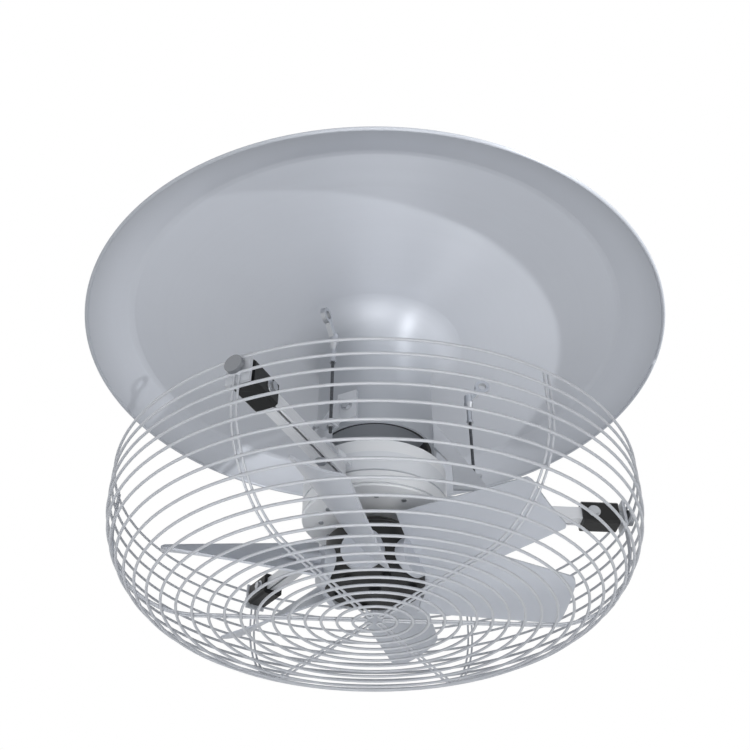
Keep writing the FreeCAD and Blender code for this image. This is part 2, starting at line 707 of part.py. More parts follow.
def make_arms():
    half, wall = "arm_width / 2", "arm_wall"
    low, high = ARM_BOTTOM, ARM_TOP
    left_lip, right_lip = "arm_slot_side - arm_slot / 2", "arm_slot_side + arm_slot / 2"
    section = [
        (f"-{half}", high), (half, high), (half, low), (right_lip, low),
        (right_lip, f"{low} + {wall}"), (f"{half} - {wall}", f"{low} + {wall}"),
        (f"{half} - {wall}", f"{high} - {wall}"), (f"{wall} - {half}", f"{high} - {wall}"),
        (f"{wall} - {half}", f"{low} + {wall}"), (left_lip, f"{low} + {wall}"),
        (left_lip, low), (f"-{half}", low),
    ]
    channel = padded("arm_channel", "YZ_Plane", section, f"{BLOCK_INNER} + block_socket - {ARM_INNER}",
                     midplane=False, offset=ARM_INNER)
    bolt_holes = [
        cylinder(f"arm_{name}_hole", "arm_bolt_radius + fit", "2 * arm_depth",
                 (circle, "0", f"{ARM_BOTTOM} - arm_wall"))
        for name, circle in (("ear", EAR_BOLT_CIRCLE), ("foot", FOOT_BOLT_CIRCLE))
    ]
    clamp_hole = cylinder("arm_clamp_hole", "clamp_bolt_radius + fit", "2 * arm_width",
                          (CLAMP_BOLT_CIRCLE, "-arm_width", "arm_height"), "y")
    pieces_around("arm", cut("arm_cut", channel, *bolt_holes, clamp_hole), ARM_COUNT)
    bolts = []
    for name, circle, seat in (("ear", EAR_BOLT_CIRCLE, "ear_thickness"),
                               ("foot", FOOT_BOLT_CIRCLE, "leg_thickness")):
        top = f"({ARM_TOP} + {seat})"
        bolts.append(fuse(
            f"{name}_bolt",
            hexagon(f"{name}_bolt_head", "2 * arm_bolt_radius", "1.3 * arm_bolt_radius",
                    (circle, "0", f"{ARM_BOTTOM} - 1.3 * arm_bolt_radius")),
            cylinder(f"{name}_bolt_shank", "arm_bolt_radius", f"{top} - {ARM_BOTTOM}",
                     (circle, "0", ARM_BOTTOM)),
            hexagon(f"{name}_bolt_nut", "1.8 * arm_bolt_radius", "1.6 * arm_bolt_radius",
                    (circle, "0", top)),
        ))
        piece(group(f"{name}_bolt_set", around(f"{name}_bolt", bolts[-1], ARM_COUNT)), f"arm_{name}_bolts")


def make_clamps():
    low = "(arm_height - block_depth / 2)"
    half = "block_width / 2"
    block = padded("block_body", "YZ_Plane", [
        (f"block_chamfer - {half}", low),
        (f"{half} - block_chamfer", low),
        (half, f"{low} + block_chamfer"),
        (half, f"{low} + block_depth - block_chamfer"),
        (f"{half} - block_chamfer", f"{low} + block_depth"),
        (f"block_chamfer - {half}", f"{low} + block_depth"),
        (f"-{half}", f"{low} + block_depth - block_chamfer"),
        (f"-{half}", f"{low} + block_chamfer"),
    ], "block_length", midplane=False, offset=BLOCK_INNER)
    socket = box("block_socket_room", ("block_socket + fit", "arm_width + 2 * fit", "arm_depth + 2 * fit"),
                 (BLOCK_INNER, "-arm_width / 2 - fit", f"{ARM_BOTTOM} - fit"))
    cross_hole = cylinder("block_cross_hole", "clamp_bolt_radius + fit", "2 * block_width",
                          (CLAMP_BOLT_CIRCLE, "-block_width", "arm_height"), "y")
    screw_hole = cylinder("block_screw_hole", "guard_screw_radius + fit", "guard_screw_grip + fit",
                          (f"{CLIP_INNER} - guard_screw_grip - fit", "0", "arm_height"), "x")
    pieces_around("clamp_block", cut("block_cut", block, socket, cross_hole, screw_hole), ARM_COUNT)
    head = cylinder("clamp_bolt_head", "1.9 * clamp_bolt_radius", "1.3 * clamp_bolt_radius",
                    (CLAMP_BOLT_CIRCLE, f"-{half} - 1.3 * clamp_bolt_radius", "arm_height"), "y")
    shank = cylinder("clamp_bolt_shank", "clamp_bolt_radius", "block_width",
                     (CLAMP_BOLT_CIRCLE, f"-{half}", "arm_height"), "y")
    nut = hexagon("clamp_bolt_nut", "1.8 * clamp_bolt_radius", "1.6 * clamp_bolt_radius",
                  (CLAMP_BOLT_CIRCLE, half, "arm_height"), "y")
    bolt = fuse("clamp_bolt", head, shank, nut)
    piece(group("clamp_bolt_set", around("clamp_bolt", bolt, ARM_COUNT)), "clamp_bolts")
    plate = box("clip_plate", ("clip_thickness", "clip_width", "clip_depth"),
                (CLIP_INNER, "-clip_width / 2", "arm_height - clip_depth / 2"))
    neck_start = (f"{CLIP_INNER} - clip_neck", "0", "arm_height")
    neck = cylinder("clip_neck_body", "clip_neck_radius", "clip_neck + clip_thickness", neck_start, "x")
    hole = cylinder("clip_hole", "guard_screw_radius + fit", "clip_neck + clip_thickness", neck_start, "x")
    pieces_around("guard_clip", cut("clip_cut", fuse("clip_blank", plate, neck), hole), ARM_COUNT)
    screw_head = cylinder("guard_screw_head", "guard_head_radius", "guard_head_thickness",
                          (HEAD_INNER, "0", "arm_height"), "x")
    screw_shank = cylinder("guard_screw_shank", "guard_screw_radius",
                           f"{HEAD_INNER} - {CLIP_INNER} + guard_screw_grip",
                           (f"{CLIP_INNER} - guard_screw_grip", "0", "arm_height"), "x")
    screw = fuse("guard_screw", screw_head, screw_shank)
    piece(group("guard_screw_set", around("guard_screw", screw, ARM_COUNT)), "guard_screws")


def make_guard():
    bend = "(guard_bend_radius * pi / 2)"
    reach = f"(guard_flat_radius + {bend} + {GUARD_WALL_HEIGHT})"
    rings = []
    for index in range(RING_COUNT):
        along = f"(guard_first_ring + {index} * ({reach} - guard_first_ring) / {RING_COUNT - 1})"
        angle = f"(({along} - guard_flat_radius) / guard_bend_radius * 180 / pi)"
        radius = (f"{along} <= guard_flat_radius ? {along}"
                  f" : {along} >= guard_flat_radius + {bend} ? {GUARD_RADIUS}"
                  f" : guard_flat_radius + guard_bend_radius * sin({angle})")
        rise = (f"{along} <= guard_flat_radius ? 0 : {along} >= guard_flat_radius + {bend}"
                f" ? {along} - guard_flat_radius - {bend} + guard_bend_radius"
                f" : guard_bend_radius * (1 - cos({angle}))")
        ring = doc.addObject("Part::Torus", f"ring_{index + 1}")
        bind(ring, {"Radius1": radius, "Radius2": "ring_wire_radius"})
        rings.append(place(ring, ("0", "0", f"ring_wire_radius + ({rise})")))
    piece(group("floor_ring_set", rings[:FLOOR_RING_COUNT]), "guard_floor_rings")
    piece(group("wall_ring_set", rings[FLOOR_RING_COUNT:]), "guard_wall_rings")
    hairpin = make_hairpin()
    piece(group("rib_set", around("rib", hairpin, RIB_COUNT)), "guard_ribs")


def make_hairpin():
    """One rib: two wires side by side that follow the rings inwards from the rim and join in a tight bend."""
    bend_radius = f"(guard_bend_radius - {RIB_RISE})"
    half = "rib_pair_spacing / 2"
    lengths = []
    for name, offset in (("left", half), ("right", f"-{half}")):
        lengths.append(cylinder(f"rib_{name}_wall", "rib_wire_radius", GUARD_WALL_HEIGHT,
                                (RIB_RADIUS, offset, "ring_wire_radius + guard_bend_radius")))
        lengths.append(cylinder(f"rib_{name}_floor", "rib_wire_radius",
                                "guard_flat_radius - rib_inner_radius",
                                ("rib_inner_radius", offset, RIB_HEIGHT), "x"))
        quarter = doc.addObject("Part::Torus", f"rib_{name}_bend")
        quarter.Angle3 = 90
        bind(quarter, {"Radius1": bend_radius, "Radius2": "rib_wire_radius"})
        quarter.Placement.Rotation = Rotation(Vector(1, 0, 0), -90)
        bend_centre = ("guard_flat_radius", offset, "ring_wire_radius + guard_bend_radius")
        lengths.append(place(quarter, bend_centre))
    turn = doc.addObject("Part::Torus", "rib_turn")
    turn.Angle3 = 180
    bind(turn, {"Radius1": half, "Radius2": "rib_wire_radius"})
    turn.Placement.Rotation = Rotation(Vector(0, 0, 1), 90)
    lengths.append(place(turn, ("rib_inner_radius", "0", RIB_HEIGHT)))
    return fuse("rib_hairpin", *lengths)


def key_room(name):
    """The space of the key, half in the shaft and half in the hub."""
    return box(name, ("key_width + 2 * fit", "key_width + 2 * fit", "key_length + 2 * fit"),
               ("hub_shaft_radius - key_width / 2 - fit", "-key_width / 2 - fit",
                f"{HUB_SEAT} + key_margin - fit"))


def make_hub():
    lower = turned("hub_lower_turned", [
        ("hub_shaft_radius + running_fit", HUB_SEAT),
        ("end_washer_radius + fit", HUB_SEAT),
        ("end_washer_radius + fit", "hub_bottom"),
        ("hub_radius - hub_chamfer", "hub_bottom"),
        ("hub_radius", "hub_bottom + hub_chamfer"),
        ("hub_radius", "hub_split"),
        ("hub_shaft_radius + running_fit", "hub_split"),
    ])
    upper = turned("hub_upper_turned", [
        ("hub_shaft_radius + running_fit", "hub_split"),
        ("hub_radius", "hub_split"),
        ("hub_radius", f"{HUB_FLANGE_TOP} - hub_chamfer"),
        ("hub_radius - hub_chamfer", HUB_FLANGE_TOP),
        ("hub_boss_radius", HUB_FLANGE_TOP),
        ("hub_boss_radius", f"{HUB_BOSS_TOP} - hub_chamfer"),
        ("hub_boss_radius - hub_chamfer", HUB_BOSS_TOP),
        ("hub_shaft_radius + running_fit", HUB_BOSS_TOP),
    ])
    socket = cylinder("shank_socket", "shank_radius + fit", "hub_radius",
                      ("shank_inner - fit", "0", "hub_split"), "x")
    sockets = around("shank_sockets", socket, BLADE_COUNT, "blade_start_angle")
    bolt_hole = cylinder("hub_bolt_hole", "hub_bolt_radius + fit", "hub_bolt_length + fit",
                         ("hub_bolt_circle", "0", "hub_bottom"))
    bolt_start = f"blade_start_angle + 180 / {BLADE_COUNT}"
    bolt_holes = around("hub_bolt_holes", bolt_hole, BLADE_COUNT, bolt_start)
    piece(cut("hub_lower_cut", lower, key_room("hub_lower_slot"), *sockets, *bolt_holes), "hub_lower_half")
    piece(cut("hub_upper_cut", upper, key_room("hub_upper_slot"), *sockets, *bolt_holes), "hub_upper_half")
    bolt = fuse(
        "hub_bolt",
        hexagon("hub_bolt_head", "1.8 * hub_bolt_radius", "1.2 * hub_bolt_radius",
                ("hub_bolt_circle", "0", "hub_bottom - 1.2 * hub_bolt_radius")),
        cylinder("hub_bolt_shank", "hub_bolt_radius", "hub_bolt_length",
                 ("hub_bolt_circle", "0", "hub_bottom")),
    )
    piece(group("hub_bolt_set", around("hub_bolt", bolt, BLADE_COUNT, bolt_start)), "hub_bolts")
    key = box("key_bar", ("key_width", "key_width", "key_length"),
              ("hub_shaft_radius - key_width / 2", "-key_width / 2",
               f"{HUB_SEAT} + key_margin"))
    piece(key, "shaft_key")
    washer = cylinder("washer_disc", "end_washer_radius", "end_washer_thickness", ("0", "0", "hub_bottom"))
    washer_hole = cylinder("washer_hole", "end_screw_radius + fit", "end_washer_thickness",
                           ("0", "0", "hub_bottom"))
    piece(cut("washer_cut", washer, washer_hole), "end_washer")
    end_head = hexagon("end_screw_head", "1.8 * end_screw_radius", "1.2 * end_screw_radius",
                       ("0", "0", "hub_bottom - 1.2 * end_screw_radius"))
    end_shank = cylinder("end_screw_shank", "end_screw_radius", "end_screw_length", ("0", "0", "hub_bottom"))
    piece(fuse("end_screw_body", end_head, end_shank), "end_screw")


def make_blades():
    body = doc.addObject("PartDesign::Body", "blade_sheet")
    stations = (
        ("root", BLADE_ROOT, "root_chord", "root_angle", "0"),
        ("middle", f"({BLADE_ROOT} + blade_tip_radius) / 2", "middle_chord", "middle_angle", "tip_drop / 2"),
        ("tip", "blade_tip_radius", "tip_chord", "tip_angle", "tip_drop"),
    )
    sketches = [blade_section(body, *station) for station in stations]
    loft = body.newObject("PartDesign::AdditiveLoft", "blade_loft")
    loft.Profile = sketches[0]
    loft.Sections = sketches[1:]
    half, corner = "tip_chord / 2 * cos(tip_angle)", "tip_corner_radius"
    wide = "root_chord + middle_chord"
    outline = padded("blade_outline", "XY_Plane", [
        ("0", f"-({wide})"),
        (f"blade_tip_radius - {corner}", f"-({wide})"),
        (f"blade_tip_radius - {corner}", f"-({half})", corner, "left"),
        ("blade_tip_radius", f"{corner} - {half}"),
        ("blade_tip_radius", f"{half} - {corner}", corner, "left"),
        (f"blade_tip_radius - {corner}", half),
        (f"blade_tip_radius - {corner}", wide),
        ("0", wide),
    ], "4 * hub_split")
    trimmed = doc.addObject("Part::Common", "blade_trimmed")
    trimmed.Base, trimmed.Tool = body, outline
    raised = group("blade_raised", [trimmed])
    place(raised, ("0", "0", "hub_split"))
    shank = cylinder("blade_shank", "shank_radius", f"{BLADE_ROOT} - shank_inner",
                     ("shank_inner", "0", "hub_split"), "x")
    taper = cone("blade_shank_taper", "shank_radius", "shank_tip_radius", "shank_taper",
                 (BLADE_ROOT, "0", "hub_split"), "x")
    pad_disc = cylinder("blade_pad_disc", "root_pad_radius", "root_pad_wrap + root_pad_proud",
                        ("hub_radius - root_pad_wrap", "0", "hub_split - root_pad_drop"), "x")
    hub_room = cylinder("blade_pad_hub_room", "hub_radius + fit", "2 * hub_split", ("0", "0", "0"))
    pad = cut("blade_pad", pad_disc, hub_room)
    blade = fuse("blade_whole", raised, fuse("blade_stem", shank, taper), pad)
    pieces_around("blade", blade, BLADE_COUNT, "blade_start_angle")


def blade_section(body, name, radius, chord, pitch, drop):
    """A cambered section across the blade, hollow side up, with its forward edge low."""
    sketch = sketch_on(body, "YZ_Plane", f"blade_{name}")
    half = f"{chord} / 2"
    arc = f"(({half}) ^ 2 + blade_camber ^ 2) / (2 * blade_camber)"
    draw_outline(sketch, [
        (f"-({half})", "-blade_thickness / 2", arc, "left"),
        (half, "-blade_thickness / 2"),
        (half, "blade_thickness / 2", arc, "right"),
        (f"-({half})", "blade_thickness / 2"),
    ])
    bind(sketch, {
        "AttachmentOffset.Base.y": f"-({drop})",
        "AttachmentOffset.Base.z": radius,
        "AttachmentOffset.Rotation.Angle": f"-{pitch}",
    })
    return sketch


def make_stays():
    """The hanging rods: each stands on a leg's shelf and ends in an eye that leans outwards."""
    def on_rod(height):
        return "stay_circle", "stay_side", height

    rod_low = f"({SHELF_TOP} - stay_tail)"
    rod = cylinder("stay_bar", "stay_radius", f"{EYE_SEAT} + stay_thread - {rod_low}", on_rod(rod_low))
    pieces_around("stay_rod", rod, ARM_COUNT)
    bush_bottom = f"({EYE_SEAT} - cone_nut_height - bush_length)"
    bush = cut("bush_cut",
               cylinder("bush_body", "bush_radius", "bush_length", on_rod(bush_bottom)),
               cylinder("bush_bore", "stay_radius + fit", "bush_length", on_rod(bush_bottom)))
    pieces_around("stay_bush", bush, ARM_COUNT)
    nut_heights = {
        "shelf_top_nut": SHELF_TOP,
        "shelf_bottom_nut": f"{SHELF_TOP} - leg_thickness - nut_height",
        "bush_nut": f"{bush_bottom} - nut_height",
    }
    nuts = [hexagon(name + "_body", "nut_radius", "nut_height", on_rod(base))
            for name, base in nut_heights.items()]
    nuts.append(cone("cone_nut_body", "stay_radius + cone_nut_wall", "cone_nut_radius", "cone_nut_height",
                     on_rod(f"{EYE_SEAT} - cone_nut_height")))
    sets = []
    for number, body in enumerate(nuts, 1):
        bore = cylinder(f"nut_bore_{number}", "stay_radius + fit", EYE_SEAT, on_rod("0"))
        sets += around(f"stay_nut_{number}", cut(f"nut_cut_{number}", body, bore), ARM_COUNT)
    piece(group("stay_nut_set", sets), "stay_nuts")
    pieces_around("eye_nut", make_eye(), ARM_COUNT)


def make_eye():
    """A threaded hub with a flat neck that leans outwards to a ring."""
    low = f"({EYE_SEAT} + eye_hub_height / 2)"
    far = "(stay_circle + eye_reach * sin(eye_lean_angle))"
    high = f"({low} + eye_reach * cos(eye_lean_angle))"
    across = "(eye_neck_width / 2 * cos(eye_lean_angle))"
    down = "(eye_neck_width / 2 * sin(eye_lean_angle))"
    neck = padded("eye_neck", "XZ_Plane", [
        (f"stay_circle + {across}", f"{low} - {down}"),
        (f"{far} + {across}", f"{high} - {down}"),
        (f"{far} - {across}", f"{high} + {down}"),
        (f"stay_circle - {across}", f"{low} + {down}"),
    ], "eye_thickness", midplane=False, offset="-stay_side - eye_thickness / 2")
    ring = cylinder("eye_ring", "eye_radius", "eye_thickness",
                    (far, "stay_side - eye_thickness / 2", high), "y")
    hub = cylinder("eye_hub", "eye_hub_radius", "eye_hub_height", ("stay_circle", "stay_side", EYE_SEAT))
    hole = cylinder("eye_hole", "eye_bore_radius", "3 * eye_thickness",
                    (far, "stay_side - 1.5 * eye_thickness", high), "y")
    thread = cylinder("eye_thread", "stay_radius + fit", "stay_thread + fit",
                      ("stay_circle", "stay_side", EYE_SEAT))
    return cut("eye_cut", fuse("eye_blank", hub, neck, ring), hole, thread)


def export():
    """Check every object and sub-part, then write one STEP file for each sub-part."""
    doc.recompute()
    for item in doc.Objects:
        if "Invalid" in item.State or "Error" in item.State:
            raise RuntimeError(f"{item.Name} failed: {item.State}")
    for item in pieces:
        if item.Shape.isNull() or not item.Shape.isValid():
            raise RuntimeError(f"{item.Label} has no valid shape")
    os.makedirs("parts", exist_ok=True)
    for item in pieces:
        item.Shape.exportStep(f"parts/{item.Label}.step")
        print(f"{item.Label}: {len(item.Shape.Solids)} solids, {item.Shape.Volume / 1000:.1f} cm3")


make_deflector()
make_motor_case()
make_motor_insides()
make_bracket()
make_arms()
make_clamps()
make_guard()
make_hub()
make_blades()
make_stays()
export()
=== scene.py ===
"""Looks of the vertical circulation fan, built around its CAD frame.

Lengths are in metres, lamp power in watts, and angles in degrees where no comment says otherwise.
"""

import math

import bpy
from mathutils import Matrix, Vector


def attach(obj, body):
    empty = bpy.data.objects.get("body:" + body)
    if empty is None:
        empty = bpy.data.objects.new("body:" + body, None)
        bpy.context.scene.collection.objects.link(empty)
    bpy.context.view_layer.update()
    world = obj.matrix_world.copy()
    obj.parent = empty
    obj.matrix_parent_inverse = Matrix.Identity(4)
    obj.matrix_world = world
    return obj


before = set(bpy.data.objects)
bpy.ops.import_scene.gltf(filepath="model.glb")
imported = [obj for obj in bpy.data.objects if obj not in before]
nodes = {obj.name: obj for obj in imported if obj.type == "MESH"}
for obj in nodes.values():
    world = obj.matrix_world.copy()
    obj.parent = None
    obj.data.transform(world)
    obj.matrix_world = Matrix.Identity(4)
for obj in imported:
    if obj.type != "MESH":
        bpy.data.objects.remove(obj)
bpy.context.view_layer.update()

# Camera, below the guard and looking up

LENS_MM = 45.485
SENSOR_MM = 36.0
CAMERA_PLACE = (-0.0707, -1.0112, -0.4324)
CAMERA_PITCH = 37.81
CAMERA_HEADING = -4.0
CAMERA_NEAR = 0.01

# Light. The key rises past the floor's edge, so it reaches the disc and leaves the guard in shade.

KEY_TOWARDS = 138.5
KEY_RISE = 9.5
KEY_STRENGTH = 4.2
KEY_SPREAD = 1.2
KEY_DISTANCE = 3
FILL_LIGHT = {"place": (-0.05, -1.0, -0.95), "target": (0, 0, 0.15),
              "size": 1.2, "power": 4.4, "spread": 80.0}
TOP_LIGHT = {"place": (0.4, 0.9, 1.6), "target": (0, 0, 0.38),
             "size": 1.6, "power": 5.8, "spread": 110.0}
AMBIENT = 0.46
AMBIENT_COLOUR = (0.97, 0.985, 1.0, 1)
WHITE = (1, 1, 1, 1)

# Floor. Its paleness is the share of plain white that the eye and a gloss see in it.

FLOOR_SIDE = 14.9
FLOOR_DROP = 1.3
FLOOR_COLOUR = (0.82, 0.82, 0.82, 1)
FLOOR_ROUGHNESS = 0.9
FLOOR_PALENESS = 0.55


def set_up_camera():
    turn = (math.radians(90 + CAMERA_PITCH), 0, math.radians(CAMERA_HEADING))
    bpy.ops.object.camera_add(location=CAMERA_PLACE, rotation=turn)
    camera = bpy.context.object
    camera.name = "studio_camera"
    camera.data.lens = LENS_MM
    camera.data.sensor_width = SENSOR_MM
    camera.data.clip_start = CAMERA_NEAR
    bpy.context.scene.camera = camera


def set_up_key_light():
    towards, rise = math.radians(KEY_TOWARDS), math.radians(KEY_RISE)
    level = math.cos(rise)
    travel = Vector((level * math.cos(towards), level * math.sin(towards), math.sin(rise)))
    bpy.ops.object.light_add(type="SUN", location=travel * -KEY_DISTANCE)
    lamp = bpy.context.object
    lamp.name = "key_light"
    lamp.rotation_euler = travel.to_track_quat("-Z", "Y").to_euler()
    lamp.data.energy = KEY_STRENGTH
    lamp.data.angle = math.radians(KEY_SPREAD)


def set_up_soft_light(name, place, target, size, power, spread):
    bpy.ops.object.light_add(type="AREA", location=place)
    lamp = bpy.context.object
    lamp.name = name
    aim = Vector(target) - Vector(place)
    lamp.rotation_euler = aim.to_track_quat("-Z", "Y").to_euler()
    lamp.data.size = size
    lamp.data.energy = power
    lamp.data.spread = math.radians(spread)
    lamp.visible_camera = False


def seen_rays(tree):
    """One for the rays that show a background: to the camera, in a gloss or through glass."""
    path = tree.nodes.new("ShaderNodeLightPath")
    seen = math_node(tree, "MAXIMUM", path.outputs["Is Camera Ray"], path.outputs["Is Glossy Ray"])
    return math_node(tree, "MAXIMUM", seen, path.outputs["Is Transmission Ray"])


def mixed_shader(tree, share, first, second):
    node = tree.nodes.new("ShaderNodeMixShader")
    tree.links.new(share, node.inputs["Fac"])
    tree.links.new(first.outputs[0], node.inputs[1])
    tree.links.new(second.outputs[0], node.inputs[2])
    return node.outputs[0]


def set_up_world():
    world = bpy.data.worlds.new("studio_air")
    bpy.context.scene.world = world
    world.use_nodes = True
    tree = world.node_tree
    tree.nodes.clear()
    soft = tree.nodes.new("ShaderNodeBackground")
    soft.inputs["Color"].default_value = AMBIENT_COLOUR
    soft.inputs["Strength"].default_value = AMBIENT
    white = tree.nodes.new("ShaderNodeBackground")
    white.inputs["Color"].default_value = WHITE
    white.inputs["Strength"].default_value = 1.0
    air = mixed_shader(tree, seen_rays(tree), soft, white)
    tree.links.new(air, tree.nodes.new("ShaderNodeOutputWorld").inputs["Surface"])


def set_up_floor():
    bpy.ops.mesh.primitive_plane_add(size=FLOOR_SIDE, location=(0, 0, -FLOOR_DROP))
    floor = bpy.context.object
    floor.name = "studio_floor"
    material = bpy.data.materials.new("pale_floor")
    material.use_nodes = True
    tree = material.node_tree
    shader = tree.nodes["Principled BSDF"]
    shader.inputs["Base Color"].default_value = FLOOR_COLOUR
    shader.inputs["Roughness"].default_value = FLOOR_ROUGHNESS
    white = tree.nodes.new("ShaderNodeEmission")
    share = product(tree, seen_rays(tree), FLOOR_PALENESS)
    surface = mixed_shader(tree, share, shader, white)
    tree.links.new(surface, tree.nodes["Material Output"].inputs["Surface"])
    floor.data.materials.append(material)


# Building blocks of the shared effects

def linear(*levels):
    """A colour written as 0 to 255 display levels, as the shader's linear values."""
    def channel(level):
        share = level / 255
        return share / 12.92 if share <= 0.04045 else ((share + 0.055) / 1.055) ** 2.4

    return (*[channel(level) for level in levels], 1.0)


def socket_kind(start):
    """The kind of an input, told by its start value: a number, three numbers or a colour."""
    if isinstance(start, tuple):
        return "NodeSocketColor" if len(start) == 4 else "NodeSocketVector"
    return "NodeSocketFloat"


def new_effect(name, inputs):
    """An empty effect that puts out colour, roughness and normal, and the sockets of its inputs."""
    group = bpy.data.node_groups.new(name, "ShaderNodeTree")
    for label, start in inputs.items():
        socket = group.interface.new_socket(label, in_out="INPUT", socket_type=socket_kind(start))
        socket.default_value = start
    group.interface.new_socket("Colour", in_out="OUTPUT", socket_type="NodeSocketColor")
    group.interface.new_socket("Roughness", in_out="OUTPUT", socket_type="NodeSocketFloat")
    group.interface.new_socket("Normal", in_out="OUTPUT", socket_type="NodeSocketVector")
    return group, group.nodes.new("NodeGroupInput").outputs


def put_out(group, colour, roughness, normal):
    made = group.nodes.new("NodeGroupOutput")
    group.links.new(colour, made.inputs["Colour"])
    group.links.new(roughness, made.inputs["Roughness"])
    group.links.new(normal, made.inputs["Normal"])
    return group


def feed(tree, socket, value):
    """Link another node's output to the socket, or set it to a plain value."""
    if isinstance(value, (int, float, tuple)):
        socket.default_value = value
    else:
        tree.links.new(value, socket)


def math_node(tree, operation, first, second):
    node = tree.nodes.new("ShaderNodeMath")
    node.operation = operation
    feed(tree, node.inputs[0], first)
    feed(tree, node.inputs[1], second)
    return node.outputs[0]


def product(tree, value, *others):
    for other in others:
        value = math_node(tree, "MULTIPLY", value, other)
    return value


def total(tree, value, *others):
    for other in others:
        value = math_node(tree, "ADD", value, other)
    return value


def swing(tree, noise, size):
    """A noise value moved to swing about zero, by half of the size each way."""
    return product(tree, math_node(tree, "SUBTRACT", noise, 0.5), size)


def object_place(tree):
    return tree.nodes.new("ShaderNodeTexCoord").outputs["Object"]


def axis_values(tree, vector):
    node = tree.nodes.new("ShaderNodeSeparateXYZ")
    tree.links.new(vector, node.inputs[0])
    return node.outputs


def noise_node(tree, vector, scale, detail=2.0, roughness=0.5):
    node = tree.nodes.new("ShaderNodeTexNoise")
    node.inputs["Detail"].default_value = detail
    node.inputs["Roughness"].default_value = roughness
    feed(tree, node.inputs["Scale"], scale)
    tree.links.new(vector, node.inputs["Vector"])
    return node.outputs["Fac"]


def ramp_node(tree, value, low, high):
    """Zero below the low mark, one above the high mark, smooth between them."""
    node = tree.nodes.new("ShaderNodeMapRange")
    node.interpolation_type = "SMOOTHSTEP"
    feed(tree, node.inputs["From Min"], low)
    feed(tree, node.inputs["From Max"], high)
    tree.links.new(value, node.inputs["Value"])
    return node.outputs["Result"]


def shaded_colour(tree, colour, brightness):
    """The colour times a brightness near one."""
    node = tree.nodes.new("ShaderNodeVectorMath")
    node.operation = "SCALE"
    tree.links.new(colour, node.inputs[0])
    tree.links.new(brightness, node.inputs["Scale"])
    return node.outputs[0]


def mixed_colour(tree, share, first, second):
    """From the first colour to the second; a Mix node keeps its colours in sockets 6, 7 and out 2."""
    node = tree.nodes.new("ShaderNodeMix")
    node.data_type = "RGBA"
    tree.links.new(share, node.inputs["Factor"])
    feed(tree, node.inputs[6], first)
    feed(tree, node.inputs[7], second)
    return node.outputs[2]


def bump_node(tree, height, strength, depth):
    node = tree.nodes.new("ShaderNodeBump")
    node.inputs["Distance"].default_value = depth
    tree.links.new(strength, node.inputs["Strength"])
    tree.links.new(height, node.inputs["Height"])
    return node.outputs["Normal"]


# Shared effects. A swing is a change of brightness, and a dulling a change of roughness.

DUST_COLOUR = linear(188, 184, 174)
DUST_SCALE = 26.0
DUST_TILT = (0.25, 0.95)
DUST_PATCH = (0.35, 0.75)
DUST_DULLING = 0.4


def settled_dust(tree, place, amount):
    """A mask of dust that lies in patches on faces that look up."""
    normal = tree.nodes.new("ShaderNodeNewGeometry").outputs["Normal"]
    upward = ramp_node(tree, axis_values(tree, normal)["Z"], *DUST_TILT)
    cloud = noise_node(tree, place, DUST_SCALE, detail=5.0, roughness=0.65)
    return product(tree, upward, ramp_node(tree, cloud, *DUST_PATCH), amount)


# The turn of the scuffs is in radians.

PEEL_DEPTH = 0.0004
TONE_SCALE = 9.0
TONE_DULLING = 0.16
SPECK_SCALE = 2400.0
SPECK_SWING = 0.05
SCUFF_COLOUR = linear(200, 202, 206)
SCUFF_TURN = (0.5, 0.3, 0.9)
SCUFF_STRETCH = (24.0, 420.0, 420.0)
SCUFF_LINE = (0.66, 0.78)
SCUFF_PATCH_SCALE = 34.0
SCUFF_PATCH = (0.48, 0.66)
SCUFF_DULLING = 0.25


def make_coat_grain():
    """Sprayed or moulded skin: fine peel, slow drift of tone, thin scuffs and a little dust on top."""
    group, given = new_effect("coat_grain", {
        "Colour": (0.5, 0.5, 0.5, 1), "Gloss Roughness": 0.4, "Peel Scale": 900.0, "Peel Strength": 0.1,
        "Tone Drift": 0.06, "Scuff": 0.1, "Dust": 0.25})
    place = object_place(group)
    peel = noise_node(group, place, given["Peel Scale"], detail=3.0, roughness=0.55)
    tone = noise_node(group, place, TONE_SCALE, detail=4.0, roughness=0.6)
    speck = noise_node(group, place, SPECK_SCALE, detail=1.0)
    level = total(group, swing(group, tone, given["Tone Drift"]), swing(group, speck, SPECK_SWING), 1.0)
    toned = shaded_colour(group, given["Colour"], level)
    stretch = group.nodes.new("ShaderNodeMapping")
    stretch.inputs["Rotation"].default_value = SCUFF_TURN
    stretch.inputs["Scale"].default_value = SCUFF_STRETCH
    group.links.new(place, stretch.inputs["Vector"])
    line = ramp_node(group, noise_node(group, stretch.outputs["Vector"], 1.0, detail=3.0), *SCUFF_LINE)
    patch = ramp_node(group, noise_node(group, place, SCUFF_PATCH_SCALE), *SCUFF_PATCH)
    scuff = product(group, line, patch, given["Scuff"])
    scuffed = mixed_colour(group, scuff, toned, SCUFF_COLOUR)
    dust = settled_dust(group, place, given["Dust"])
    colour = mixed_colour(group, dust, scuffed, DUST_COLOUR)
    roughness = total(group, given["Gloss Roughness"], swing(group, tone, TONE_DULLING),
                      product(group, scuff, SCUFF_DULLING), product(group, dust, DUST_DULLING))
    return put_out(group, colour, roughness, bump_node(group, peel, given["Peel Strength"], PEEL_DEPTH))


RING_DEPTH = 0.0003
RING_SWING = 0.05
RING_DULLING = 0.2
SHEET_SCALE = 6.0
SHEET_SWING = 0.05


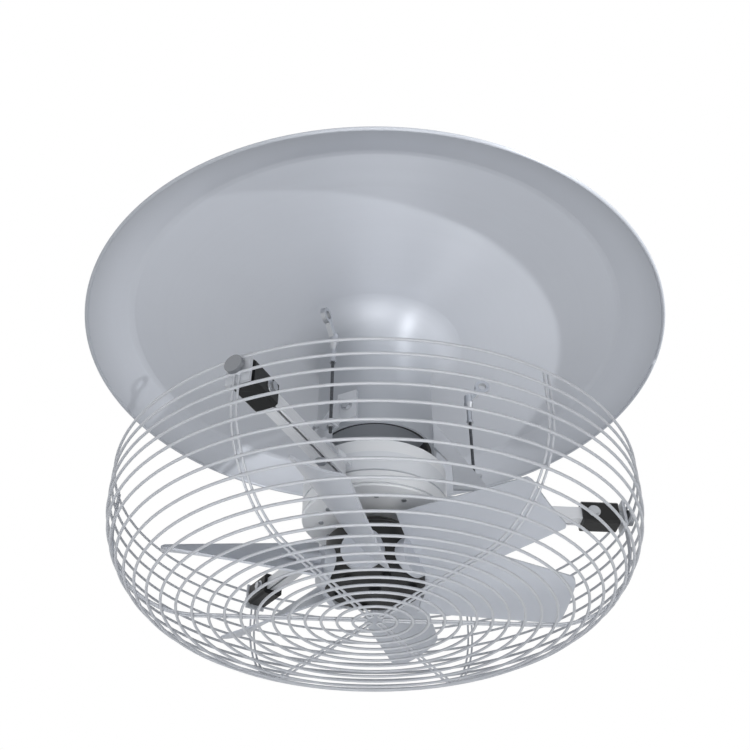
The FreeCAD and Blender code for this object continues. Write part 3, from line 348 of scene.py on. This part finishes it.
def make_spun_sheet():
    """Sheet spun over a former: faint rings about the axis, a duller neck below the flare, and painted
    shade that darkens the neck's colour.
    """
    group, given = new_effect("spun_sheet", {
        "Colour": (0.5, 0.5, 0.5, 1), "Painted Neck Shade": (0.4, 0.4, 0.4, 1), "Gloss Roughness": 0.4,
        "Neck Dullness": 0.0, "Neck End": 0.345, "Sheet Start": 0.385, "Ring Scale": 380.0,
        "Ring Strength": 0.08, "Dust": 0.3})
    place = object_place(group)
    axes = axis_values(group, place)
    squares = [math_node(group, "POWER", axes[name], 2.0) for name in ("X", "Y")]
    profile = group.nodes.new("ShaderNodeCombineXYZ")
    group.links.new(math_node(group, "POWER", total(group, *squares), 0.5), profile.inputs["X"])
    group.links.new(axes["Z"], profile.inputs["Y"])
    ring = noise_node(group, profile.outputs["Vector"], given["Ring Scale"], detail=3.0, roughness=0.6)
    tone = noise_node(group, place, SHEET_SCALE, detail=4.0, roughness=0.6)
    # Painted shade: the neck and the foot of the flare take the darker neck colour, which fades to the
    # sheet colour above.
    share = ramp_node(group, axes["Z"], given["Neck End"], given["Sheet Start"])
    neck_shaded_base = mixed_colour(group, share, given["Painted Neck Shade"], given["Colour"])
    level = total(group, swing(group, ring, RING_SWING), swing(group, tone, SHEET_SWING), 1.0)
    toned = shaded_colour(group, neck_shaded_base, level)
    dust = settled_dust(group, place, given["Dust"])
    colour = mixed_colour(group, dust, toned, DUST_COLOUR)
    neck = math_node(group, "SUBTRACT", 1.0, share)
    roughness = total(group, given["Gloss Roughness"], product(group, neck, given["Neck Dullness"]),
                      swing(group, ring, RING_DULLING), product(group, dust, DUST_DULLING))
    return put_out(group, colour, roughness, bump_node(group, ring, given["Ring Strength"], RING_DEPTH))


STREAK_DEPTH = 0.0002
STREAK_SWING = 0.22
STREAK_DULLING = 0.3


def make_drawn_streaks():
    """Extruded, drawn or turned metal: fine streaks along one direction. Its turn is in radians."""
    group, given = new_effect("drawn_streaks", {
        "Colour": (0.6, 0.6, 0.6, 1), "Gloss Roughness": 0.3, "Turn": (0, 0, 0),
        "Stretch": (20.0, 1500.0, 1500.0), "Streak Strength": 0.15})
    turned = group.nodes.new("ShaderNodeVectorRotate")
    turned.rotation_type = "EULER_XYZ"
    group.links.new(object_place(group), turned.inputs["Vector"])
    group.links.new(given["Turn"], turned.inputs["Rotation"])
    mapping = group.nodes.new("ShaderNodeMapping")
    group.links.new(turned.outputs["Vector"], mapping.inputs["Vector"])
    group.links.new(given["Stretch"], mapping.inputs["Scale"])
    streak = noise_node(group, mapping.outputs["Vector"], 1.0, detail=3.0, roughness=0.6)
    colour = shaded_colour(group, given["Colour"], total(group, swing(group, streak, STREAK_SWING), 1.0))
    roughness = total(group, given["Gloss Roughness"], swing(group, streak, STREAK_DULLING))
    normal = bump_node(group, streak, given["Streak Strength"], STREAK_DEPTH)
    return put_out(group, colour, roughness, normal)


RIDGE_DEPTH = 0.0004
RIDGE_LIGHT_AND_SHADE = 0.9
GRIME_SCALE = 300.0
GRIME_SWING = 0.9
GRIME_DULLING = 0.3


def make_cut_thread():
    """A rod threaded along Z: close ridges, with a painted highlight on their crests and painted shade in
    their roots.
    """
    group, given = new_effect("cut_thread", {
        "Colour": (0.2, 0.2, 0.2, 1), "Gloss Roughness": 0.35, "Pitch": 0.001, "Ridge Strength": 0.6})
    place = object_place(group)
    turns = math_node(group, "DIVIDE", axis_values(group, place)["Z"], given["Pitch"])
    ridge = math_node(group, "PINGPONG", turns, 0.5)
    grime = noise_node(group, place, GRIME_SCALE, detail=3.0)
    # Painted highlight and shade: the ridge lifts the colour on the crests and lowers it in the roots.
    level = total(group, product(group, ridge, RIDGE_LIGHT_AND_SHADE), product(group, grime, GRIME_SWING))
    colour = shaded_colour(group, given["Colour"], level)
    roughness = total(group, given["Gloss Roughness"], swing(group, grime, GRIME_DULLING))
    normal = bump_node(group, ridge, given["Ridge Strength"], RIDGE_DEPTH)
    return put_out(group, colour, roughness, normal)


def new_material(name, group, values, fixed):
    """A Principled surface fed by a shared effect.

    The values set the effect's inputs, and fixed sets the shader's own sockets.
    """
    material = bpy.data.materials.new(name)
    material.use_nodes = True
    tree = material.node_tree
    shader = tree.nodes["Principled BSDF"]
    effect = tree.nodes.new("ShaderNodeGroup")
    effect.node_tree = group
    for label, value in values.items():
        effect.inputs[label].default_value = value
    for label, value in fixed.items():
        shader.inputs[label].default_value = value
    tree.links.new(effect.outputs["Colour"], shader.inputs["Base Color"])
    tree.links.new(effect.outputs["Roughness"], shader.inputs["Roughness"])
    tree.links.new(effect.outputs["Normal"], shader.inputs["Normal"])
    return material


# The grain's turn is a share of a full turn.

GRAIN_STRETCH = 0.8
GRAIN_TURN = 0.25


def lay_round_grain(material):
    """Stretch the gloss by the spinning marks that run round the Z axis."""
    tree = material.node_tree
    shader = tree.nodes["Principled BSDF"]
    tangent = tree.nodes.new("ShaderNodeTangent")
    tangent.direction_type = "RADIAL"
    tangent.axis = "Z"
    tree.links.new(tangent.outputs["Tangent"], shader.inputs["Tangent"])
    shader.inputs["Anisotropic"].default_value = GRAIN_STRETCH
    shader.inputs["Anisotropic Rotation"].default_value = GRAIN_TURN


def dress(material, *names):
    for name in names:
        mesh = nodes[name].data
        mesh.materials.clear()
        mesh.materials.append(material)


# Pieces added to the frame

ARM_COUNT = 3
BLADE_COUNT = 6
RIB_COUNT = 6

# The guard's wires, and the nuggets that weld them

RING_COUNT = 23
RING_WIRE = 0.0016
FIRST_RING = 0.025
GUARD_FLAT = 0.2
GUARD_BEND = 0.112
GUARD_WALL = 0.043
RIB_SIDE = 0.003
WELD_DEPTH = 0.0014
NUGGET_SIZE = (0.0021, 0.0027, 0.0016)
NUGGET_UNEVENNESS = 0.00022
NUGGET_SEED = 7

# Washers on the first arm's side. Their turns are in radians.

WASHER_SIDES = 36
WASHER_BORE = 0.0031
WASHER_THICKNESS = 0.001
WASHER_ROUNDING = 0.0003
WASHER_SMOOTHING = 40
ARM_WASHER = 0.0074
CLAMP_WASHER = 0.0078
EAR_BOLT_CIRCLE = 0.104
FOOT_BOLT_CIRCLE = 0.136
CLAMP_BOLT_CIRCLE = 0.2681
NECK_SCREW_CIRCLE = 0.0796
UNDER_ARM = 0.1385
CLAMP_CHEEK = 0.0145
CLAMP_HEIGHT = 0.147
NECK_SCREW_HEIGHT = 0.252
UPRIGHT = (0, 0, 0)
CROSSWISE = (math.pi / 2, 0, 0)
OUTWARD = (0, math.pi / 2, 0)


def ring_stations():
    """Each guard ring's radius and height, and the tilt in radians of the rib that crosses it."""
    curve = GUARD_BEND * math.pi / 2
    reach = GUARD_FLAT + curve + GUARD_WALL
    for index in range(RING_COUNT):
        along = FIRST_RING + index * (reach - FIRST_RING) / (RING_COUNT - 1)
        tilt = min(max(along - GUARD_FLAT, 0) / GUARD_BEND, math.pi / 2)
        radius = min(along, GUARD_FLAT) + GUARD_BEND * math.sin(tilt)
        height = RING_WIRE + GUARD_BEND * (1 - math.cos(tilt)) + max(along - GUARD_FLAT - curve, 0)
        yield radius, height, tilt


def open_piece(name):
    """Name the shape just added, apply its place to its mesh and go on in edit mode."""
    piece = bpy.context.object
    piece.name = name
    bpy.ops.object.transform_apply(location=True, rotation=True, scale=True)
    bpy.ops.object.mode_set(mode="EDIT")
    return piece


def spin_copies(count):
    """Copy all of the mesh in edit mode to even places about the Z axis."""
    bpy.ops.mesh.select_all(action="SELECT")
    bpy.ops.mesh.spin(steps=count - 1, dupli=True, angle=math.tau * (count - 1) / count,
                      center=(0, 0, 0), axis=(0, 0, 1))


def make_guard_welds():
    """A small fused nugget where each rib wire crosses a ring."""
    bpy.ops.object.select_all(action="DESELECT")
    welds = None
    for radius, height, tilt in ring_stations():
        for side in (-RIB_SIDE, RIB_SIDE):
            across = math.sqrt(radius ** 2 - side ** 2) - WELD_DEPTH * math.sin(tilt)
            bpy.ops.mesh.primitive_uv_sphere_add(
                segments=8, ring_count=5, radius=1, scale=NUGGET_SIZE,
                location=(across, side, height + WELD_DEPTH * math.cos(tilt)), rotation=(0, -tilt, 0))
            if welds is None:
                welds = open_piece("guard_welds")
    bpy.ops.mesh.select_all(action="SELECT")
    bpy.ops.transform.vertex_random(offset=NUGGET_UNEVENNESS, seed=NUGGET_SEED)
    spin_copies(RIB_COUNT)
    bpy.ops.object.mode_set(mode="OBJECT")
    bpy.ops.object.shade_smooth()
    return welds


def make_bolt_washers():
    """Bored washers with rounded edges, laid on the first arm's side and copied to the other arms."""
    bpy.ops.object.select_all(action="DESELECT")
    washers = None
    for place, turn, radius in (
        ((EAR_BOLT_CIRCLE, 0, UNDER_ARM), UPRIGHT, ARM_WASHER),
        ((FOOT_BOLT_CIRCLE, 0, UNDER_ARM), UPRIGHT, ARM_WASHER),
        ((CLAMP_BOLT_CIRCLE, -CLAMP_CHEEK, CLAMP_HEIGHT), CROSSWISE, CLAMP_WASHER),
        ((CLAMP_BOLT_CIRCLE, CLAMP_CHEEK, CLAMP_HEIGHT), CROSSWISE, CLAMP_WASHER),
        ((NECK_SCREW_CIRCLE, 0, NECK_SCREW_HEIGHT), OUTWARD, ARM_WASHER),
    ):
        bpy.ops.mesh.primitive_cylinder_add(vertices=WASHER_SIDES, radius=radius, depth=WASHER_THICKNESS,
                                            location=place, rotation=turn)
        if washers is None:
            washers = open_piece("bolt_washers")
            bpy.ops.mesh.select_mode(type="FACE")
        bpy.ops.mesh.select_face_by_sides(number=WASHER_SIDES, type="EQUAL", extend=False)
        bpy.ops.mesh.inset(thickness=radius - WASHER_BORE)
        bpy.ops.mesh.bridge_edge_loops()
    bpy.ops.mesh.select_all(action="SELECT")
    bpy.ops.mesh.normals_make_consistent(inside=False)
    spin_copies(ARM_COUNT)
    bpy.ops.object.mode_set(mode="OBJECT")
    edge = washers.modifiers.new("rounded_edge", "BEVEL")
    edge.width = WASHER_ROUNDING
    edge.segments = 2
    edge.limit_method = "ANGLE"
    bpy.ops.object.modifier_apply(modifier=edge.name)
    bpy.ops.object.shade_smooth_by_angle(angle=math.radians(WASHER_SMOOTHING))
    return washers


set_up_camera()
set_up_key_light()
set_up_soft_light("fill_light", **FILL_LIGHT)
set_up_soft_light("top_light", **TOP_LIGHT)
set_up_world()
set_up_floor()
bpy.context.scene.view_settings.view_transform = "Standard"

coat = make_coat_grain()
spun = make_spun_sheet()
streaks = make_drawn_streaks()
thread = make_cut_thread()

# Painted and moulded skins

# The darker neck colour is painted shade, carried from the neck up the flare to the sheet's start.
deflector_coat = new_material(
    "deflector_coat", spun,
    {"Colour": linear(195, 199, 207), "Painted Neck Shade": linear(170, 174, 181), "Gloss Roughness": 0.42,
     "Neck Dullness": 0.2, "Neck End": 0.362, "Sheet Start": 0.402,
     "Ring Scale": 260.0, "Ring Strength": 0.05, "Dust": 0.14},
    {"Specular IOR Level": 0.4, "Metallic": 0.32})
lay_round_grain(deflector_coat)
shield_coat = new_material(
    "shield_coat", spun,
    {"Colour": linear(232, 234, 237), "Painted Neck Shade": linear(232, 234, 237), "Gloss Roughness": 0.4,
     "Ring Scale": 520.0, "Ring Strength": 0.1},
    {"Specular IOR Level": 0.45})
motor_coat = new_material(
    "motor_coat", coat,
    {"Colour": linear(222, 225, 230), "Gloss Roughness": 0.4, "Peel Scale": 420.0, "Peel Strength": 0.14,
     "Tone Drift": 0.06, "Scuff": 0.08},
    {"Specular IOR Level": 0.45})
bracket_coat = new_material(
    "bracket_coat", coat,
    {"Colour": linear(197, 200, 206), "Gloss Roughness": 0.38, "Peel Scale": 600.0, "Peel Strength": 0.08,
     "Tone Drift": 0.05, "Scuff": 0.1},
    {"Specular IOR Level": 0.45})
wire_coat = new_material(
    "wire_coat", coat,
    {"Colour": linear(184, 187, 193), "Gloss Roughness": 0.34, "Peel Scale": 500.0, "Peel Strength": 0.1,
     "Tone Drift": 0.08, "Scuff": 0.05},
    {"Specular IOR Level": 0.5})
blade_skin = new_material(
    "blade_skin", coat,
    {"Colour": linear(191, 195, 203), "Gloss Roughness": 0.42, "Peel Scale": 1100.0, "Peel Strength": 0.08,
     "Tone Drift": 0.05, "Scuff": 0.06},
    {"Specular IOR Level": 0.45})
hub_skin = new_material(
    "hub_skin", coat,
    {"Colour": linear(15, 16, 17), "Gloss Roughness": 0.5, "Peel Scale": 1300.0, "Peel Strength": 0.22,
     "Tone Drift": 0.2, "Scuff": 0.1, "Dust": 0.35},
    {"Specular IOR Level": 0.35})
clamp_skin = new_material(
    "clamp_skin", coat,
    {"Colour": linear(15, 16, 17), "Gloss Roughness": 0.48, "Peel Scale": 1500.0, "Peel Strength": 0.22,
     "Tone Drift": 0.2, "Scuff": 0.1, "Dust": 0.35},
    {"Specular IOR Level": 0.35})
rubber_skin = new_material(
    "rubber_skin", coat,
    {"Colour": linear(30, 30, 31), "Gloss Roughness": 0.7, "Peel Scale": 900.0, "Peel Strength": 0.15,
     "Tone Drift": 0.2, "Scuff": 0.03, "Dust": 0.4},
    {"Specular IOR Level": 0.3})

# Bare and plated metals

core_steel = new_material(
    "core_steel", streaks,
    {"Colour": linear(96, 96, 98), "Gloss Roughness": 0.5, "Stretch": (60.0, 60.0, 2000.0),
     "Streak Strength": 0.4},
    {"Metallic": 0.8})
winding_wire = new_material(
    "winding_wire", streaks,
    {"Colour": linear(178, 104, 60), "Gloss Roughness": 0.35, "Stretch": (300.0, 300.0, 1400.0),
     "Streak Strength": 0.6},
    {"Metallic": 0.9})
ground_steel = new_material(
    "ground_steel", streaks,
    {"Colour": linear(178, 180, 184), "Gloss Roughness": 0.28, "Stretch": (40.0, 40.0, 2600.0),
     "Streak Strength": 0.2},
    {"Metallic": 1.0})
zinc_plate = new_material(
    "zinc_plate", streaks,
    {"Colour": linear(176, 179, 184), "Gloss Roughness": 0.36, "Stretch": (420.0, 420.0, 420.0),
     "Streak Strength": 0.15},
    {"Metallic": 0.85})
dull_zinc = new_material(
    "dull_zinc", streaks,
    {"Colour": linear(134, 137, 142), "Gloss Roughness": 0.46, "Stretch": (420.0, 420.0, 420.0),
     "Streak Strength": 0.15},
    {"Metallic": 0.8})
thread_steel = new_material(
    "thread_steel", thread,
    {"Colour": linear(92, 95, 100), "Gloss Roughness": 0.36, "Pitch": 0.0009},
    {"Metallic": 0.7})
black_oxide = new_material(
    "black_oxide", streaks,
    {"Colour": linear(30, 31, 33), "Gloss Roughness": 0.45, "Stretch": (500.0, 500.0, 500.0),
     "Streak Strength": 0.15},
    {"Metallic": 0.3})

dress(deflector_coat, "deflector")
dress(motor_coat, "motor_shell")
dress(shield_coat, "lower_end_shield", "upper_end_shield")
dress(wire_coat, "guard_floor_rings", "guard_wall_rings", "guard_ribs")
dress(hub_skin, "hub_lower_half", "hub_upper_half")
dress(blade_skin, *[f"blade_{number}" for number in range(1, BLADE_COUNT + 1)])
dress(rubber_skin, "shaft_seal", "cable_gland")
dress(core_steel, "stator_core", "rotor_core")
dress(winding_wire, "lower_winding", "upper_winding")
dress(ground_steel, "motor_shaft", "shaft_key", "lower_bearing_outer_ring", "lower_bearing_inner_ring",
      "upper_bearing_outer_ring", "upper_bearing_inner_ring")
dress(zinc_plate, "shield_screws", "neck_screws", "arm_ear_bolts", "arm_foot_bolts", "clamp_bolts",
      "stay_nuts")
dress(dull_zinc, "guard_screws")
dress(black_oxide, "hub_bolts", "neck_ring", "end_washer", "end_screw")

# Each arm has its own material, because its streaks run along the arm.

for number in range(1, ARM_COUNT + 1):
    arm_turn = math.tau / ARM_COUNT * (number - 1)
    extruded = new_material(
        f"extruded_arm_{number}", streaks,
        {"Colour": linear(220, 222, 226), "Gloss Roughness": 0.36, "Turn": (0, 0, -arm_turn),
         "Stretch": (14.0, 1600.0, 1600.0), "Streak Strength": 0.12},
        {"Metallic": 0.15})
    dress(extruded, f"arm_{number}")
    dress(clamp_skin, f"clamp_block_{number}")
    dress(bracket_coat, f"bracket_leg_{number}", f"guard_clip_{number}")
    dress(thread_steel, f"stay_rod_{number}")
    dress(zinc_plate, f"stay_bush_{number}", f"eye_nut_{number}")

welds = make_guard_welds()
welds.data.materials.append(wire_coat)
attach(welds, "frame")

washers = make_bolt_washers()
washers.data.materials.append(zinc_plate)
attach(washers, "frame")
